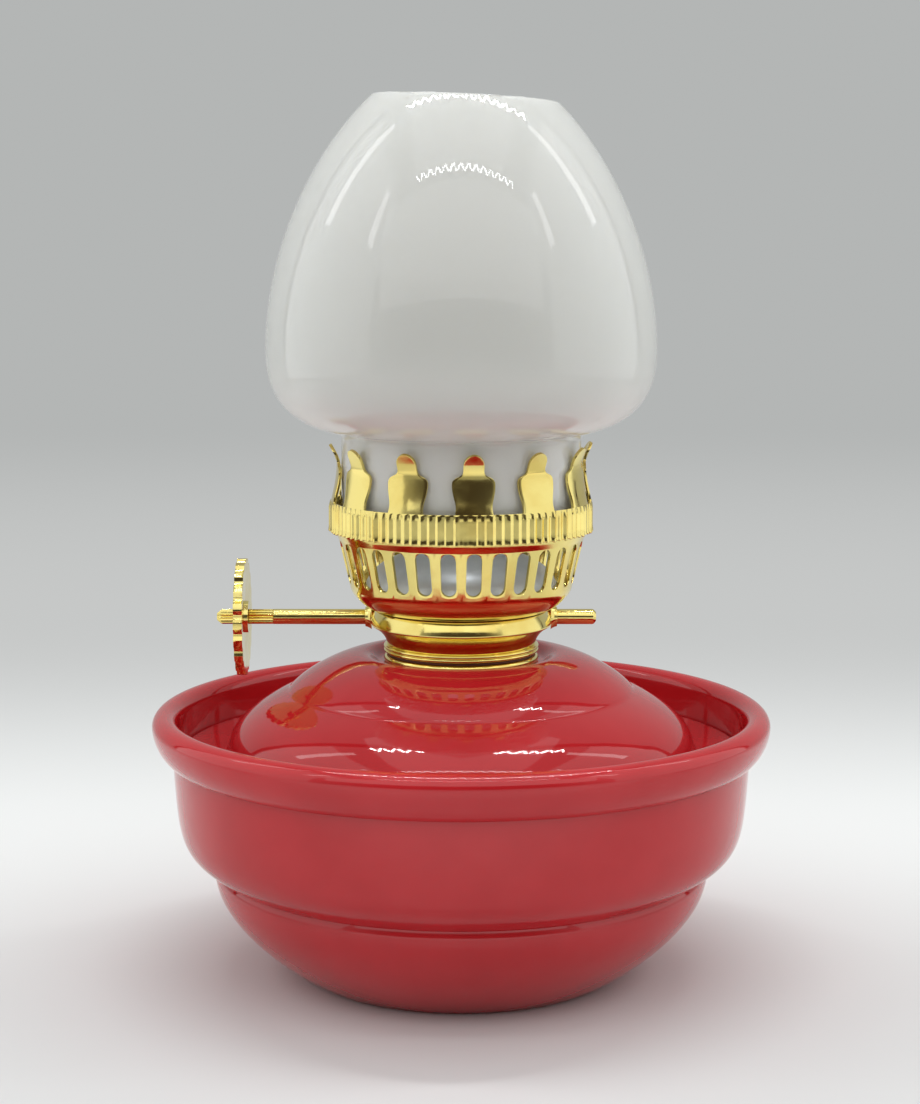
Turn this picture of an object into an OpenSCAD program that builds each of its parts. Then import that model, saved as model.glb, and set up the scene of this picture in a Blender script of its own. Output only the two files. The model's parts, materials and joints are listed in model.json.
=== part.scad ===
// Table oil lamp: an enamelled bowl with the oil tank in it, a screw-in flat-wick burner
// and an opal glass chimney. Millimetres, +Z up, origin on the axis at the foot.
// The thumb wheel's end of the shaft points to -X, and the wick's flat side faces -Y.

/* [Bowl] */
// Diameter over the rolled rim
rim_d = 104; // [100:0.5:112]
// Height of the rim's top above the table
bowl_h = 45; // [42:0.5:56]
// Radius of the roll at the top of the rim
roll_r = 2.15; // [1.8:0.05:2.6]
// Depth of the rim's curl below the middle of the roll
curl_h = 5.4; // [4.5:0.1:7]
// Diameter of the flat that the lamp stands on
base_d = 52.8; // [44:0.4:60]
// Diameter of the lower body at the step
step_d = 83.5; // [76:0.1:88]
// Height of the step above the table
step_h = 18.2; // [15:0.1:22]
// Sheet thickness of the bowl
bowl_wall = 0.8; // [0.6:0.05:1]

/* [Tank top] */
// Depth of the trough below the rim's top
trough_depth = 7; // [5:0.5:10]
// Diameter of the dome at the trough
dome_d = 78.8; // [72:0.4:84]
// Diameter of the crease between the dome's two tiers
tier_d = 58.2; // [52:0.2:64]
// Height of that crease above the trough
tier_h = 10.3; // [8:0.1:14]
// Height of the dome's crown above the crease
crown_h = 6.2; // [4:0.1:9]
// Depth of the collar's seat below the crown
seat_depth = 1.4; // [0.8:0.1:2]
// Sheet thickness of the tank's top
tank_wall = 0.6; // [0.5:0.05:0.8]

/* [Collar] */
// Diameter of the thread between the collar and the burner
thread_d = 22; // [20:0.2:23]
// Rise of the thread in one turn
thread_pitch = 2; // [1.5:0.1:2.5]
// Turns of thread in the collar
thread_turns = 3; // [2:0.5:4]
// Wall of the collar's sleeve
collar_wall = 0.8; // [0.6:0.05:1]
// Radius of the beads on the collar and on the burner's skirt
bead_r = 0.6; // [0.5:0.05:0.75]
// How far the beads stand out from the collar's sleeve
bead_out = 1.25; // [1:0.05:1.5]
// Thickness of the sealing washer
washer_t = 0.4; // [0.3:0.05:0.8]

/* [Burner] */
// Thickness of the burner's brass sheet
sheet = 0.6; // [0.5:0.05:0.7]
// Height of the cove between the skirt's bead and the belt
cove_h = 3.4; // [3:0.1:5]
// Diameter over the belt's ridge
belt_d = 30.5; // [29:0.1:32]
// Height of the belt
belt_h = 2.4; // [2.2:0.1:4]
// How far the belt draws in from its ridge to its top edge
belt_slant = 0.8; // [0.4:0.05:1]
// Height of the air basket
basket_h = 13.6; // [12:0.2:18]
// Number of air slots
slot_count = 30; // [20:1:32]
// Width of an air slot
slot_w = 2.5; // [1.8:0.05:2.8]
// Height of an air slot
slot_h = 7.5; // [6.5:0.1:8]
// Height of the ribbed band
band_h = 4.9; // [4:0.1:7]
// Number of ribs round the band
rib_count = 96; // [60:4:120]
// Depth of the ribs
rib_depth = 0.3; // [0.2:0.05:0.4]
// Number of spring prongs
prong_count = 12; // [8:1:14]
// Width of a prong across its bulge
prong_w = 7; // [5:0.1:7.6]
// Height of the prongs above the band
prong_h = 9.4; // [8:0.1:12]
// Turn of the first prong from the front
prong_turn = 5.5; // [0:0.5:29.5]

/* [Winder] */
// Radius of the spur wheels that carry the wick
spur_r = 2.65; // [2.4:0.05:2.8]
// Thickness of a spur wheel
spur_t = 1.2; // [0.8:0.1:1.6]
// Number of teeth on a spur wheel
spur_teeth = 12; // [8:1:16]
// Distance of each spur wheel from the middle of the wick
spur_x = 3.2; // [2.4:0.1:3.6]
// Diameter of the winder shaft
shaft_d = 2.6; // [2.2:0.1:2.8]
// Reach of the shaft to its thumb wheel's end
shaft_left = 41.5; // [38:0.5:50]
// Reach of the shaft to its free end
shaft_right = 22.9; // [20:0.1:30]
// Length of the splined end of the shaft
spline_l = 9.3; // [7:0.1:12]
// Diameter of the thumb wheel
wheel_d = 19.9; // [16:0.1:22]
// Thickness of the thumb wheel's rim
wheel_t = 1.5; // [1.2:0.1:2.2]
// Distance of the thumb wheel's middle from the end of the shaft
wheel_inset = 4.3; // [3:0.1:6]
// Number of scallops round the thumb wheel
scallop_count = 20; // [12:1:28]

/* [Wick] */
// Width of the wick
wick_w = 12; // [10:0.2:13]
// Thickness of the wick
wick_t = 2.4; // [1.6:0.1:2.6]
// Height of the wick's top above the flame deflector
wick_show = 1; // [0:0.1:2]
// Height of the wick's lower end above the table
wick_low = 8; // [7.5:0.5:20]

/* [Chimney] */
// Diameter of the chimney's neck
neck_d = 40; // [38:0.2:43]
// Height of the neck, from its foot to the shoulder
neck_h = 15.4; // [14.5:0.1:20]
// Diameter of the bulb
bulb_d = 64.9; // [56:0.1:72]
// Height from the shoulder to the widest part of the bulb
bulb_low_h = 13.6; // [11:0.1:18]
// Height from the widest part of the bulb to its top
bulb_high_h = 42.4; // [34:0.2:50]
// Diameter of the chimney's top edge
top_d = 28.2; // [24:0.2:34]
// Thickness of the glass
glass_t = 1.6; // [1.2:0.1:2.2]
// Tilt of the cut across the chimney's top
cut_tilt = 2.9; // [0:0.1:4]

/* [Fits] */
// Gap between the glass and what holds it
glass_gap = 0.3; // [0.2:0.05:0.5]
// Gap between pieces that are seated or soldered
seat_gap = 0.05; // [0.03:0.01:0.1]
// Running clearance round the shaft
run_gap = 0.05; // [0.03:0.01:0.08]
// Running clearance in the thread
thread_gap = 0.08; // [0.05:0.01:0.1]
// Free room round the wick and round its spur wheels
wick_gap = 0.3; // [0.25:0.05:0.4]
// Gap between the tips of the spurs and the wick
spur_gap = 0.15; // [0.1:0.05:0.25]

/* [Hidden] */
$fn = 96;
// How far a cutting shape runs past the faces that it cuts
over = 1;
enamel = [0.72, 0.13, 0.15];
brass = [0.86, 0.74, 0.33];
steel = [0.72, 0.73, 0.74];
cotton = [0.93, 0.91, 0.85];
rubber = [0.12, 0.11, 0.11];
opal = [0.93, 0.94, 0.92];
// Number of pieces that a curve is drawn with: most curves, the cove, the basket, the prongs
// and the long upper side of the glass
curve_n = 10;
cove_n = 6;
basket_n = 7;
prong_n = 5;
bulb_n = 14;

// Bowl: the wall that the rim is rolled from
rim_r = rim_d / 2;
roll_x = rim_r - roll_r;
roll_z = bowl_h - roll_r;
wall_in_r = rim_r - 2 * roll_r;
wall_r = wall_in_r + bowl_wall;
curl_z = roll_z - curl_h;
curl_edge = 0.6;
curl_in = 1.1;
belly_drop = 2;
base_r = base_d / 2;
step_r = step_d / 2;
step_round = 3;
step_turn = 28;
step_c = [step_r - step_round, step_h - step_round * sin(step_turn)];
crease = step_c + step_round * [cos(step_turn), sin(step_turn)];
belly_top = curl_z - belly_drop;

// Tank top, from the trough up
trough_z = bowl_h - trough_depth;
dome_r = dome_d / 2;
tier_r = tier_d / 2;
tier_z = trough_z + tier_h;
crown_z = tier_z + crown_h;
seat_z = crown_z - seat_depth;
trough_round = 0.6;
lip_h = 2.8;

// Collar and skirt, from the collar's seat up
thread_r = thread_d / 2;
thread_len = thread_pitch * thread_turns;
sleeve_r = thread_r + collar_wall;
bead_x = sleeve_r + bead_out - bead_r;
seat_room = 0.5;
seat_r = bead_x + bead_r + seat_room;
collar_top = seat_z + 2 * bead_r;
collar_low = collar_top - thread_len;
flare_t = 0.5;
flare_out = 1.1;
washer_z = collar_top + seat_gap;
skirt_z = washer_z + washer_t + seat_gap;
skirt_top = skirt_z + 2 * bead_r;
skirt_low = collar_low + 0.5;
skirt_r = thread_r - thread_gap;
skirt_wall = 0.7;
skirt_in_r = skirt_r - skirt_wall;

// Burner cup, basket and crown, each standing on the one below
ridge_z = skirt_top + cove_h;
ridge_h = 0.3;
ridge_r = belt_d / 2;
belt_top = ridge_z + belt_h;
belt_top_r = ridge_r - belt_slant;
cup_foot_r = bead_x;
neck_r = neck_d / 2;
basket_z = belt_top;
basket_foot_r = belt_top_r - 0.25;
basket_top = basket_z + basket_h;
knee_z = basket_z + 0.41 * basket_h;
knee_in = 2.2;
basket_lip = 0.6;
basket_lip_h = 1.2;
slot_z = basket_top - basket_lip_h - slot_h;
shelf_low = basket_top + seat_gap;
shelf_top = shelf_low + sheet;
shelf_w = 1.8;
band_low = basket_top;
band_top = band_low + band_h;
band_room = 1.25;
band_in_r = neck_r + band_room;
band_r = band_in_r + sheet;
basket_r = band_in_r - seat_gap;
prong_in_r = neck_r + glass_gap;
prong_t = 0.5;
prong_root = 0.6;
prong_flare = 1.3;

// Winder and wick: the spurs stop just short of the wick's back
wick_back = wick_t / 2;
shaft_y = wick_back + spur_gap + spur_r;
shaft_r = shaft_d / 2;
shaft_rise = 0.4;
shaft_z = ridge_z + shaft_rise;
shaft_tip = 0.5;
spline_r = shaft_r - 0.03;
spline_root = spline_r - 0.15;
spline_count = 16;
bush_wall = 0.3;
bush_r = shaft_r + run_gap + bush_wall;
bush_out = 1.1;
bush_tail = 2.6;
bush_flange = 0.5;
tube_wall = 0.4;
tube_in_y = wick_back + wick_gap;
tube_y = tube_in_y + tube_wall;
tube_in_x = wick_w / 2 + wick_gap;
tube_x = tube_in_x + tube_wall;
cover_wall = 0.4;
cover_in = spur_r + wick_gap;
cover_x = spur_x + spur_t / 2 + wick_gap + cover_wall;
cover_back = shaft_y + cover_in + cover_wall;
cover_top = shaft_z + cover_in + cover_wall;
cover_low = shaft_z - cover_in - cover_wall;
plate_z = cover_top + seat_gap;
plate_t = 0.5;
plate_hole = 0.6;
plate_rows = [[1.6, 32], [3.6, 24]];
basket_room = 0.1;
deflector_t = 0.5;
deflector_rise = 1;
deflector_z = plate_z + plate_t + deflector_rise;
deflector_h = 7.5;
deflector_top = deflector_z + deflector_h;
flame_slot_x = wick_w / 2 + 1.4;
flame_slot_y = wick_t / 2 + 1.5;
tube_under = 0.9;
tube_top = deflector_top - deflector_t - tube_under;
tube_low = collar_low + 1.5;
wick_top = deflector_top + wick_show;

// Thumb wheel on the splined end
wheel_x = -shaft_left + wheel_inset;
wheel_r = wheel_d / 2;
wheel_rim = 1.6;
wheel_web = 0.9;
hub_r = 2.7;
hub_t = 2.2;

// Chimney, standing on the crown's shelf
foot_z = shelf_top + seat_gap;
shoulder_z = foot_z + neck_h;
wide_z = shoulder_z + bulb_low_h;
chimney_top = wide_z + bulb_high_h;
bulb_r = bulb_d / 2;
top_r = top_d / 2;
neck_fillet = 1.2;
neck_bend_z = shoulder_z + 0.3;
trim = 0.3;

// Cubic curve from its four control points, its slope, and a curve at a distance from it
function mix3(p, t) =
    pow(1 - t, 3) * p[0] + 3 * t * pow(1 - t, 2) * p[1] + 3 * t * t * (1 - t) * p[2] + pow(t, 3) * p[3];
function slope3(p, t) =
    pow(1 - t, 2) * (p[1] - p[0]) + 2 * t * (1 - t) * (p[2] - p[1]) + t * t * (p[3] - p[2]);
function beside3(p, d, t) =
    let (s = slope3(p, t)) mix3(p, t) + d * [-s[1], s[0]] / norm(s);
function curve(p, n = curve_n) = [for (i = [0 : n]) mix3(p, i / n)];
function curve_beside(p, d, n = curve_n, last = 1) = [for (i = [0 : n]) beside3(p, d, last * i / n)];
function arc(c, r, a, b, n = curve_n) =
    [for (i = [0 : n]) let (w = a + (b - a) * i / n) c + r * [cos(w), sin(w)]];
function flip(list) = [for (i = [len(list) - 1 : -1 : 0]) list[i]];
// Radius, at height z, of the curve at distance d beside p, which rises from end to end
function radius_at(p, d, z, low = 0, high = 1, n = 30) =
    let (mid = (low + high) / 2)
    n == 0 ? beside3(p, d, mid)[0]
    : beside3(p, d, mid)[1] < z ? radius_at(p, d, z, mid, high, n - 1)
    : radius_at(p, d, z, low, mid, n - 1);

// Curves of the bowl: lower body, belly above the step, and the outside of the curl
body_curve = [[base_r, 0],
    [base_r + 0.34 * (step_r - base_r), 0.155 * step_h],
    [step_r - 0.7, 0.555 * step_h],
    [step_r, step_c[1]]];
belly_curve = [crease,
    [wall_r - 0.18 * (wall_r - step_r), step_h + 0.23 * (belly_top - step_h)],
    [wall_r - 0.11 * (wall_r - step_r), step_h + 0.25 * (belly_top - step_h)],
    [wall_r, belly_top]];
curl_curve = [[rim_r, roll_z],
    [rim_r, roll_z - 0.34 * curl_h],
    [rim_r - curl_in, curl_z + 0.2 * curl_h],
    [wall_r + curl_edge, curl_z]];

// Curves of the tank's top: rise from the collar's seat, upper tier, lower tier
rise_curve = [[seat_r, seat_z],
    [seat_r + 1, seat_z],
    [seat_r + 1.4, crown_z],
    [seat_r + 3, crown_z]];
upper_curve = [[seat_r + 3, crown_z],
    [seat_r + 6.9, crown_z],
    [tier_r - 2.6, crown_z - 0.53 * crown_h],
    [tier_r - 0.2, tier_z + 0.3]];
lower_curve = [[tier_r, tier_z],
    [tier_r + 0.38 * (dome_r - tier_r), tier_z - 0.18 * tier_h],
    [dome_r - 0.2, trough_z + 0.5 * tier_h],
    [dome_r, trough_z + trough_round]];

// Curves of the burner: cove under the belt, foot of the basket, prong's lean and flare, deflector
cove_curve = [[cup_foot_r, skirt_top],
    [cup_foot_r + 0.2, skirt_top + 0.42 * cove_h],
    [ridge_r - 1.6, ridge_z - 0.3 * cove_h],
    [ridge_r - 0.1, ridge_z - 0.1]];
basket_curve = [[basket_foot_r, basket_z],
    [basket_foot_r + 1.7, basket_z + 0.09 * (knee_z - basket_z)],
    [basket_r - knee_in - 0.53, basket_z + 0.62 * (knee_z - basket_z)],
    [basket_r - knee_in, knee_z]];
lean_curve = [[band_r - prong_t, band_top - prong_root],
    [band_r - prong_t - 0.3, band_top + 0.15 * prong_h],
    [prong_in_r, band_top + 0.27 * prong_h],
    [prong_in_r, band_top + 0.58 * prong_h]];
flare_curve = [[prong_in_r, band_top + 0.58 * prong_h],
    [prong_in_r, band_top + 0.79 * prong_h],
    [prong_in_r + 0.45 * prong_flare, band_top + 0.9 * prong_h],
    [prong_in_r + prong_flare, band_top + prong_h]];
deflector_r = radius_at(basket_curve, sheet, deflector_z) - seat_gap - basket_room;
deflector_curve = [[deflector_r, deflector_z],
    [deflector_r - 0.8, deflector_z + 0.66 * deflector_h],
    [0.64 * deflector_r, deflector_top],
    [0, deflector_top]];

// Curves of the glass: underside of the bulb, and its long upper side
bulb_low_curve = [[neck_r + neck_fillet, neck_bend_z],
    [neck_r + 0.68 * (bulb_r - neck_r), shoulder_z + 0.13 * bulb_low_h],
    [bulb_r, shoulder_z + 0.43 * bulb_low_h],
    [bulb_r, wide_z]];
bulb_high_curve = [[bulb_r, wide_z],
    [bulb_r, wide_z + 0.36 * bulb_high_h],
    [top_r + 0.62 * (bulb_r - top_r), wide_z + 0.76 * bulb_high_h],
    [top_r, chimney_top]];

// A ring of square section
module ring(r_out, r_in, low, high) {
    difference() {
        translate([0, 0, low]) cylinder(r = r_out, h = high - low);
        translate([0, 0, low - over]) cylinder(r = r_in, h = high - low + 2 * over);
    }
}

// A rod along X
module rod(r, from, to) {
    translate([from, shaft_y, shaft_z]) rotate([0, 90, 0]) cylinder(r = r, h = to - from);
}

// A flat wheel with teeth or splines, its axis along X at the shaft
module toothed(r_out, r_root, teeth, from, to) {
    step = 360 / teeth;
    outline = [for (i = [0 : teeth - 1], k = [[0, r_root], [0.3, r_root], [0.5, r_out], [0.8, r_out]])
        k[1] * [cos((i + k[0]) * step), sin((i + k[0]) * step)]];
    translate([from, shaft_y, shaft_z]) rotate([0, 90, 0])
        linear_extrude(height = to - from) polygon(outline);
}

// Bowl pressed from one sheet, its rim rolled outwards and curled down to the wall
module bowl() {
    outline = concat([[0, 0]],
        curve(body_curve),
        arc(step_c, step_round, 5, step_turn, 5),
        curve(belly_curve),
        [[wall_r, roll_z]],
        arc([roll_x, roll_z], roll_r - bowl_wall, 170, 0),
        curve_beside(curl_curve, -bowl_wall),
        flip(curve(curl_curve)),
        arc([roll_x, roll_z], roll_r, 10, 180),
        flip(curve_beside(belly_curve, bowl_wall)),
        arc(step_c, step_round - bowl_wall, step_turn, 5, 5),
        flip(curve_beside(body_curve, bowl_wall)),
        [[0, bowl_wall]]);
    color(enamel) rotate_extrude() polygon(outline);
}

// Two-tier top of the oil tank, with the trough's floor and the lip soldered into the bowl
module tank_dome() {
    lip_r = wall_in_r - seat_gap;
    lip_low = trough_z - lip_h;
    under = trough_z - tank_wall;
    foot = [dome_r + trough_round, trough_z + trough_round];
    corner = [lip_r - tank_wall, trough_z - tank_wall];
    outline = concat([[sleeve_r + seat_gap, seat_z]],
        curve(rise_curve),
        curve(upper_curve),
        curve(lower_curve),
        arc(foot, trough_round, 190, 270, 4),
        arc(corner, tank_wall, 90, 0, 4),
        [[lip_r, lip_low], [lip_r - tank_wall, lip_low], [lip_r - tank_wall, under]],
        [[dome_r - tank_wall, under]],
        flip(curve_beside(lower_curve, -tank_wall)),
        flip(curve_beside(upper_curve, -tank_wall)),
        flip(curve_beside(rise_curve, -tank_wall)),
        [[sleeve_r + seat_gap, seat_z - tank_wall]]);
    color(enamel) rotate_extrude() polygon(outline);
}

// Collar clinched into the dome's hole: bead above the sheet, flare below it
module neck_collar() {
    flare_top = seat_z - tank_wall - seat_gap;
    color(brass) difference() {
        union() {
            translate([0, 0, collar_low]) cylinder(r = sleeve_r, h = thread_len);
            translate([0, 0, flare_top - flare_t]) cylinder(r = sleeve_r + flare_out, h = flare_t);
            translate([0, 0, seat_z]) cylinder(r = bead_x, h = 2 * bead_r);
            translate([0, 0, seat_z + bead_r]) rotate_extrude() translate([bead_x, 0]) circle(r = bead_r);
        }
        translate([0, 0, collar_low - over]) cylinder(r = thread_r, h = thread_len + 2 * over);
    }
}

// Washer between the collar's top and the burner's skirt
module sealing_washer() {
    color(rubber) ring(bead_x - seat_gap, skirt_r + seat_gap, washer_z, washer_z + washer_t);
}

// Sleeve that screws into the collar, with the bead that comes down on the washer
module burner_skirt() {
    color(brass) difference() {
        union() {
            translate([0, 0, skirt_low]) cylinder(r = skirt_r, h = skirt_top - skirt_low);
            translate([0, 0, skirt_z]) cylinder(r = bead_x, h = 2 * bead_r);
            translate([0, 0, skirt_z + bead_r]) rotate_extrude() translate([bead_x, 0]) circle(r = bead_r);
        }
        translate([0, 0, skirt_low - over])
            cylinder(r = skirt_in_r, h = skirt_top - skirt_low + 2 * over);
    }
}

// Cove and angular belt, with a hole on each side for the shaft's bushes
module burner_cup() {
    inside = curve_beside(cove_curve, sheet, cove_n, 0.8);
    outline = concat(curve(cove_curve, cove_n),
        [[ridge_r, ridge_z], [ridge_r, ridge_z + ridge_h], [belt_top_r, belt_top]],
        [[belt_top_r - sheet, belt_top], [ridge_r - sheet, ridge_z + ridge_h]],
        flip([for (i = [1 : cove_n]) inside[i]]),
        [[cup_foot_r - sheet, skirt_top]]);
    color(brass) difference() {
        rotate_extrude() polygon(outline);
        rod(bush_r + seat_gap, -ridge_r - over, ridge_r + over);
    }
}

// Bush of the shaft, with its flange outside the belt
module shaft_bush(side) {
    flange_x = sqrt(pow(ridge_r, 2) - pow(shaft_y - bush_r - bush_flange, 2)) + seat_gap;
    tail_x = flange_x - bush_tail;
    mirror([side < 0 ? 1 : 0, 0, 0]) color(brass) difference() {
        union() {
            rod(bush_r, tail_x, flange_x + bush_out);
            translate([flange_x, shaft_y, shaft_z]) rotate([0, 90, 0])
                cylinder(r1 = bush_r + bush_flange, r2 = bush_r, h = bush_out);
        }
        rod(shaft_r + run_gap, tail_x - over, flange_x + bush_out + over);
    }
}

module shaft_bush_left() {
    shaft_bush(-1);
}

module shaft_bush_right() {
    shaft_bush(1);
}

// Slotted basket that lets the air in under the flame
module air_basket() {
    inside = curve_beside(basket_curve, sheet, basket_n);
    lip_z = basket_top - basket_lip_h;
    outline = concat(curve(basket_curve, basket_n),
        [[basket_r - basket_lip, lip_z], [basket_r, basket_top], [basket_r - sheet, basket_top]],
        [[basket_r - basket_lip - sheet, lip_z]],
        flip([for (i = [1 : basket_n]) inside[i]]),
        [[basket_foot_r - sheet, basket_z]]);
    slot_deep = 5;
    slot_from = basket_r - slot_deep;
    color(brass) difference() {
        rotate_extrude() polygon(outline);
        for (i = [0 : slot_count - 1]) rotate([0, 0, i * 360 / slot_count]) {
            translate([slot_from, -slot_w / 2, slot_z + slot_w / 2])
                cube([slot_deep + over, slot_w, slot_h - slot_w]);
            for (z = [slot_z + slot_w / 2, slot_z + slot_h - slot_w / 2])
                translate([slot_from, 0, z]) rotate([0, 90, 0]) cylinder(d = slot_w, h = slot_deep + over);
        }
    }
}

// Half outline of one prong, flat: root inside the band, waist, bulge and a round tip
function prong_half() =
    let (tip = 0.24 * prong_w, bulge = prong_w / 2, root = 1.2, waist = 0.4)
    concat([[bulge, -root]],
        curve([[0.93 * bulge, -waist], [0.7 * bulge, 0.18 * prong_h],
            [bulge, 0.24 * prong_h], [bulge, 0.5 * prong_h]], prong_n),
        curve([[bulge, 0.5 * prong_h], [bulge, 0.66 * prong_h],
            [tip, 0.6 * prong_h], [tip, 0.73 * prong_h]], prong_n),
        arc([0, prong_h - tip], tip, 20, 90, 3));

// Crown: ribbed band with the shelf for the glass, and the spring prongs above it
module prong_crown() {
    rib_step = 360 / rib_count;
    ribs = [for (i = [0 : rib_count - 1], k = [[0, 0], [0.5, rib_depth]])
        (band_r + k[1]) * [cos((i + k[0]) * rib_step), sin((i + k[0]) * rib_step)]];
    half = prong_half();
    prong = concat(half, flip([for (p = half) [-p[0], p[1]]]));
    spring = concat(curve(lean_curve, prong_n), curve(flare_curve, prong_n),
        flip(curve_beside(flare_curve, -prong_t, prong_n)),
        flip(curve_beside(lean_curve, -prong_t, prong_n)));
    color(brass) union() {
        difference() {
            translate([0, 0, band_low]) linear_extrude(height = band_h) polygon(ribs);
            translate([0, 0, band_low - over]) cylinder(r = band_in_r, h = band_h + 2 * over);
        }
        ring(band_in_r + sheet / 2, neck_r - shelf_w, shelf_low, shelf_top);
        intersection() {
            rotate_extrude() polygon(spring);
            for (i = [0 : prong_count - 1]) rotate([0, 0, prong_turn + i * 360 / prong_count])
                translate([0, 0, band_top]) rotate([90, 0, 0])
                    linear_extrude(height = band_r + 3) polygon(prong);
        }
    }
}

// Perforated plate that carries the wick tube in the bottom of the basket
module air_plate() {
    plate_r = radius_at(basket_curve, sheet, plate_z) - seat_gap - basket_room;
    color(steel) difference() {
        translate([0, 0, plate_z]) cylinder(r = plate_r, h = plate_t);
        translate([-tube_x - seat_gap, -tube_y - seat_gap, plate_z - over])
            cube([2 * (tube_x + seat_gap), 2 * (tube_y + seat_gap), plate_t + 2 * over]);
        for (row = plate_rows, i = [0 : row[1] - 1])
            rotate([0, 0, i * 360 / row[1]]) translate([plate_r - row[0], 0, plate_z - over])
                cylinder(r = plate_hole, h = plate_t + 2 * over);
    }
}

// Bright dome over the wick, slotted for the flame
module flame_deflector() {
    outline = concat(curve(deflector_curve), flip(curve_beside(deflector_curve, deflector_t)));
    slot_end = flame_slot_x - flame_slot_y;
    color(steel) difference() {
        rotate_extrude() polygon([for (p = outline) [max(p[0], 0), p[1]]]);
        translate([-slot_end, -flame_slot_y, deflector_z])
            cube([2 * slot_end, 2 * flame_slot_y, deflector_h + over]);
        for (x = [-slot_end, slot_end])
            translate([x, 0, deflector_z]) cylinder(r = flame_slot_y, h = deflector_h + over);
    }
}

// Flat tube that guides the wick, with two windows at the back for the spurs
module wick_tube() {
    window_x = spur_t / 2 + wick_gap;
    window_z = sqrt(pow(spur_r, 2) - pow(shaft_y - tube_y, 2)) + wick_gap;
    color(brass) difference() {
        translate([-tube_x, -tube_y, tube_low]) cube([2 * tube_x, 2 * tube_y, tube_top - tube_low]);
        translate([-tube_in_x, -tube_in_y, tube_low - over])
            cube([2 * tube_in_x, 2 * tube_in_y, tube_top - tube_low + 2 * over]);
        for (x = [-spur_x, spur_x])
            translate([x - window_x, 0, shaft_z - window_z])
                cube([2 * window_x, tube_y + over, 2 * window_z]);
    }
}

// Box on the back of the wick tube, round the spur wheels
module spur_cover() {
    color(brass) difference() {
        translate([-cover_x, tube_y, cover_low])
            cube([2 * cover_x, cover_back - tube_y, cover_top - cover_low]);
        translate([-cover_x + cover_wall, tube_y - over, cover_low + cover_wall])
            cube([2 * (cover_x - cover_wall), cover_back - cover_wall - tube_y + over, 2 * cover_in]);
        rod(shaft_r + wick_gap, -cover_x - over, cover_x + over);
    }
}

// Winder shaft with chamfered ends, splined where the thumb wheel is pressed on
module winder_shaft() {
    tip_r = spline_root - 0.05;
    color(brass) union() {
        toothed(spline_r, spline_root, spline_count, -shaft_left + shaft_tip, -shaft_left + spline_l);
        translate([-shaft_left, shaft_y, shaft_z]) rotate([0, 90, 0])
            cylinder(r1 = tip_r - 0.4, r2 = tip_r, h = shaft_tip);
        rod(shaft_r, -shaft_left + spline_l, shaft_right - shaft_tip);
        translate([shaft_right - shaft_tip, shaft_y, shaft_z]) rotate([0, 90, 0])
            cylinder(r1 = shaft_r, r2 = shaft_r - shaft_tip, h = shaft_tip);
    }
}

// Spur wheel pressed on the shaft behind the wick
module spur_wheel(x) {
    spur_deep = 0.6;
    color(steel) difference() {
        toothed(spur_r, spur_r - spur_deep, spur_teeth, x - spur_t / 2, x + spur_t / 2);
        rod(shaft_r + seat_gap / 2, x - spur_t, x + spur_t);
    }
}

module spur_wheel_left() {
    spur_wheel(-spur_x);
}

module spur_wheel_right() {
    spur_wheel(spur_x);
}

// Thumb wheel: scalloped rim, thinner web and a hub bored for the splined end
module thumb_wheel() {
    scallop_r = 0.9;
    scallop_in = 0.55;
    color(brass) difference() {
        union() {
            difference() {
                rod(wheel_r, wheel_x - wheel_t / 2, wheel_x + wheel_t / 2);
                rod(wheel_r - wheel_rim, wheel_x + wheel_web / 2, wheel_x + wheel_t);
                rod(wheel_r - wheel_rim, wheel_x - wheel_t, wheel_x - wheel_web / 2);
            }
            rod(hub_r, wheel_x - hub_t / 2, wheel_x + hub_t / 2);
        }
        rod(spline_r + seat_gap / 2, wheel_x - hub_t, wheel_x + hub_t);
        for (i = [0 : scallop_count - 1])
            translate([wheel_x - wheel_t, shaft_y, shaft_z]) rotate([i * 360 / scallop_count, 0, 0])
                translate([0, 0, wheel_r + scallop_r - scallop_in]) rotate([0, 90, 0])
                    cylinder(r = scallop_r, h = 2 * wheel_t);
    }
}

// Flat woven wick, from the foot of the tank up through the tube
module wick() {
    color(cotton) translate([-wick_w / 2, -wick_t / 2, wick_low])
        cube([wick_w, wick_t, wick_top - wick_low]);
}

// Opal chimney, its top cut a little out of square
module chimney() {
    fillet = [neck_r + neck_fillet, neck_bend_z - neck_fillet];
    outline = concat([[neck_r, foot_z]],
        arc(fillet, neck_fillet, 180, 100, 5),
        curve(bulb_low_curve),
        curve(bulb_high_curve, bulb_n),
        flip(curve_beside(bulb_high_curve, glass_t, bulb_n)),
        flip(curve_beside(bulb_low_curve, glass_t)),
        arc(fillet, neck_fillet + glass_t, 100, 180, 5),
        [[neck_r - glass_t, foot_z]]);
    cut_z = chimney_top - top_r * sin(cut_tilt) - trim;
    color(opal) difference() {
        rotate_extrude() polygon(outline);
        translate([0, 0, cut_z]) rotate([0, cut_tilt, 0])
            translate([-bulb_r, -bulb_r, 0]) cube([2 * bulb_r, 2 * bulb_r, top_r]);
    }
}

bowl();
tank_dome();
neck_collar();
sealing_washer();
burner_skirt();
burner_cup();
shaft_bush_left();
shaft_bush_right();
air_basket();
prong_crown();
air_plate();
flame_deflector();
wick_tube();
spur_cover();
winder_shaft();
spur_wheel_left();
spur_wheel_right();
thumb_wheel();
wick();
chimney();
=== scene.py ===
# Table oil lamp: a red enamelled bowl, a brass-plated burner and an opal chimney.
# Sizes are in mm, as (radius, height) for what is turned; MM takes them to metres.
import json
import math
import random

import bpy
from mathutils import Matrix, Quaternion, Vector


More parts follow.
